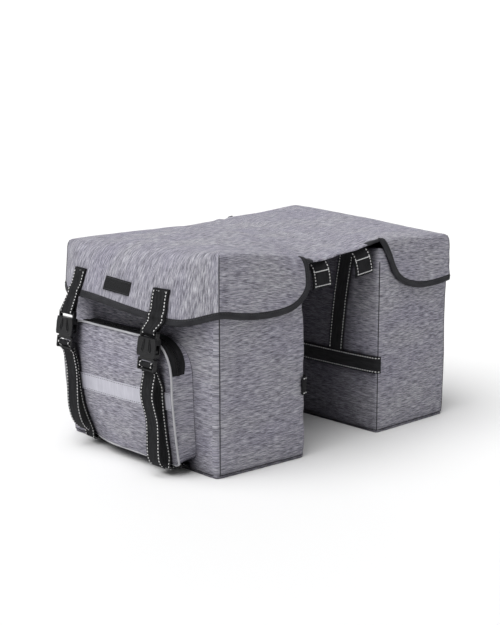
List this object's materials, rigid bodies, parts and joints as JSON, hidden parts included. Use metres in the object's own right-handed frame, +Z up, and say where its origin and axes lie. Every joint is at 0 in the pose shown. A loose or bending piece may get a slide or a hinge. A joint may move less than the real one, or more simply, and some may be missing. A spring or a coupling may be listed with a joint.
{
  "type": "bicycle rack bag",
  "caption": "Double soft bag for a bicycle rack: boxy bags on both sides under one cover, buckled lids and zipped front pockets.",
  "frame": {"origin": "centre of the footprint on the floor, midway between the two bags and midway along them", "axes": "+X along the bicycle, -Y out of the near bag's pocket side, +Y out of the far bag's pocket side, +Z up"},
  "size_m": [0.3478, 0.6146, 0.3108],
  "materials": {
    "melange_cloth": "matte woven melange",
    "edge_binding": "matte",
    "webbing": "ribbed, matte",
    "buckle_plastic": "satin",
    "light_piping": "satin",
    "reflective_tape": "satin, retroreflective",
    "label_cloth": "matte woven",
    "zip_tape": "matte",
    "zip_metal": "satin"
  },
  "bodies": {
    "root": {"near_bag_body": "melange_cloth", "far_bag_body": "melange_cloth", "top_cover": "melange_cloth", "near_lid_binding": "edge_binding", "near_pocket": "melange_cloth", "near_pocket_zip": "zip_tape", "near_pocket_piping": "light_piping", "near_reflective_band": "reflective_tape", "near_inner_belt": "webbing", "near_inner_strap": "webbing", "near_lid_strap_left": "webbing", "near_lower_strap_left": "webbing", "near_buckle_socket_left": "buckle_plastic", "near_buckle_plug_left": "buckle_plastic", "near_lid_strap_right": "webbing", "near_lower_strap_right": "webbing", "near_buckle_socket_right": "buckle_plastic", "near_buckle_plug_right": "buckle_plastic", "near_zip_slider": "zip_metal", "near_zip_pull": "zip_tape", "far_lid_binding": "edge_binding", "far_pocket": "melange_cloth", "far_pocket_zip": "zip_tape", "far_pocket_piping": "light_piping", "far_reflective_band": "reflective_tape", "far_inner_belt": "webbing", "far_inner_strap": "webbing", "far_lid_strap_left": "webbing", "far_lower_strap_left": "webbing", "far_buckle_socket_left": "buckle_plastic", "far_buckle_plug_left": "buckle_plastic", "far_lid_strap_right": "webbing", "far_lower_strap_right": "webbing", "far_buckle_socket_right": "buckle_plastic", "far_buckle_plug_right": "buckle_plastic", "far_zip_slider": "zip_metal", "far_zip_pull": "zip_tape", "bridge_tab_1": "webbing", "bridge_tab_2": "webbing", "bridge_tab_3": "webbing", "bridge_tab_4": "webbing", "label_patch": "label_cloth"}
  },
  "joints": []
}
